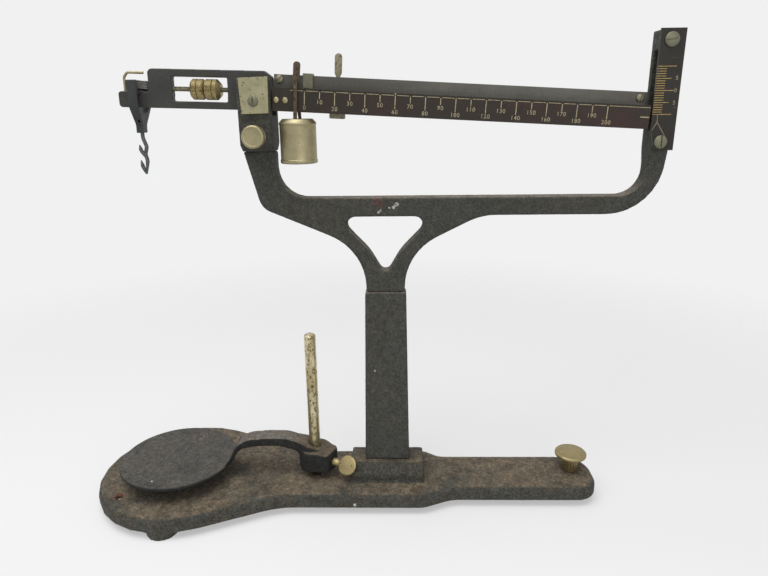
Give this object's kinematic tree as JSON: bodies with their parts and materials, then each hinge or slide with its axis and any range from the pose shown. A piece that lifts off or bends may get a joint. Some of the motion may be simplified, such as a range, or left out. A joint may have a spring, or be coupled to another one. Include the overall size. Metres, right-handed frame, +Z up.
{
  "type": "laboratory beam balance",
  "caption": "Single-pan hanging beam balance: cast base with levelling screw, flat column and yoke, knife-edge beam with sliding poises, double hook and a height-adjustable platform.",
  "frame": {"origin": "middle of the bounding box on the table plane", "axes": "+X runs along the beam from the hook towards the reading plate, -Y is the side that is read, +Z is up"},
  "size_m": [0.3914, 0.126, 0.3185],
  "materials": {
    "rusty_casting": "old black paint worn to rusty brown iron",
    "enamel": "dull black-green enamel, slightly rough",
    "dark_steel": "darkened steel",
    "old_brass": "tarnished brass",
    "rod_steel": "pitted, yellowed plating",
    "grey_casting": "worn black casting",
    "nickel": "yellowed nickel plate",
    "hard_steel": "hardened steel",
    "black_casting": "smooth black enamel",
    "black_plate": "black lacquer",
    "brown_enamel": "dark brown enamel with cream lines",
    "bar_steel": "dull grey steel",
    "screw_steel": "worn steel",
    "hanger_steel": "blued steel",
    "brown_steel": "stained steel"
  },
  "bodies": {
    "stand": {"base": "rusty_casting", "column": "enamel", "column_bolt": "dark_steel", "yoke": "enamel", "yoke_pin": "dark_steel", "fulcrum_fork": "enamel", "pivot_bearings": "hard_steel", "bearing_covers": "nickel", "cover_screws": "nickel", "reading_plate": "black_plate", "plate_screws": "screw_steel"},
    "platform_post": {"rod": "rod_steel"},
    "platform": {"platform": "grey_casting"},
    "platform_clamp": {"platform_screw": "old_brass"},
    "levelling_pad": {"levelling_foot": "old_brass"},
    "levelling_knob": {"levelling_screw": "old_brass"},
    "fork_knob": {"fork_screw": "nickel"},
    "beam": {"pivot_knife": "hard_steel", "beam_casting": "black_casting", "balance_rod": "rod_steel", "front_beam": "black_plate", "scale_strip": "brown_enamel", "top_bar": "bar_steel", "rear_beam": "black_plate", "end_block": "black_casting", "beam_rivets": "nickel", "beam_screws": "screw_steel", "hanger_knife": "hard_steel", "keeper_wire": "nickel"},
    "outer_nut": {"balance_nut_outer": "old_brass"},
    "inner_nut": {"balance_nut_inner": "old_brass"},
    "hanger": {"hanger": "hanger_steel", "hanger_bearing": "bar_steel"},
    "hook": {"hook": "dark_steel"},
    "poise_carrier": {"poise_pin": "hard_steel"},
    "poise": {"poise_stirrup": "brown_steel", "poise_weight": "nickel", "poise_plug": "old_brass"},
    "rider": {"rider": "nickel"},
    "rear_poise": {"rear_poise": "brown_steel"}
  },
  "joints": [
    {"name": "beam_tilt", "type": "hinge", "parent": "stand", "child": "beam", "pos_m": [-0.05985, -0.004, 0.2845], "axis": [0, -1, 0], "range_deg": [0, 6.7]},
    {"name": "hanger_swing", "type": "hinge", "parent": "beam", "child": "hanger", "pos_m": [-0.13497, -0.004, 0.28983], "axis": [0, -1, 0], "range_deg": [-12, 12]},
    {"name": "hook_turn", "type": "hinge", "parent": "hanger", "child": "hook", "pos_m": [-0.13567, -0.004, 0.26283], "axis": [0, 0, 1], "continuous": true},
    {"name": "poise_slide", "type": "slide", "parent": "beam", "child": "poise_carrier", "axis": [0.9983, 0, -0.0576], "range_m": [0, 0.1895]},
    {"name": "poise_swing", "type": "hinge", "parent": "poise_carrier", "child": "poise", "pos_m": [-0.0351, -0.004, 0.28821], "axis": [0, -1, 0], "range_deg": [-4, 4]},
    {"name": "rider_slide", "type": "slide", "parent": "beam", "child": "rider", "axis": [0.9983, 0, -0.0576], "range_m": [-0.007, 0.193]},
    {"name": "rear_poise_slide", "type": "slide", "parent": "beam", "child": "rear_poise", "axis": [0.9983, 0, -0.0576], "range_m": [-0.023, 0.173]},
    {"name": "outer_nut_slide", "type": "slide", "parent": "beam", "child": "outer_nut", "axis": [0.9995, 0, -0.0332], "range_m": [-0.0114, 0]},
    {"name": "inner_nut_slide", "type": "slide", "parent": "beam", "child": "inner_nut", "axis": [0.9995, 0, -0.0332], "range_m": [0, 0.0041]},
    {"name": "post_turn", "type": "hinge", "parent": "stand", "child": "platform_post", "pos_m": [-0.03535, -0.004, 0.02], "axis": [0, 0, 1], "range_deg": [-100, 0.5]},
    {"name": "platform_slide", "type": "slide", "parent": "platform_post", "child": "platform", "axis": [0, 0, 1], "range_m": [0, 0.078]},
    {"name": "platform_clamp_turn", "type": "hinge", "parent": "platform", "child": "platform_clamp", "pos_m": [-0.03535, -0.004, 0.0282], "axis": [0.891, -0.454, 0], "range_deg": [-8, 12]},
    {"name": "fork_knob_turn", "type": "hinge", "parent": "stand", "child": "fork_knob", "pos_m": [-0.06065, -0.016, 0.2595], "axis": [0, -1, 0], "range_deg": [0, 360]},
    {"name": "levelling_lift", "type": "slide", "parent": "stand", "child": "levelling_pad", "axis": [0, 0, 1], "range_m": [0, 0.004]},
    {"name": "levelling_turn", "type": "hinge", "parent": "levelling_pad", "child": "levelling_knob", "pos_m": [0.15375, -0.001, 0.01], "axis": [0, 0, 1], "range_deg": [0, 1152]}
  ],
  "couplings": [
    {"joint": "levelling_turn", "follows": "levelling_lift", "rad_per_m": 5026.5}
  ]
}
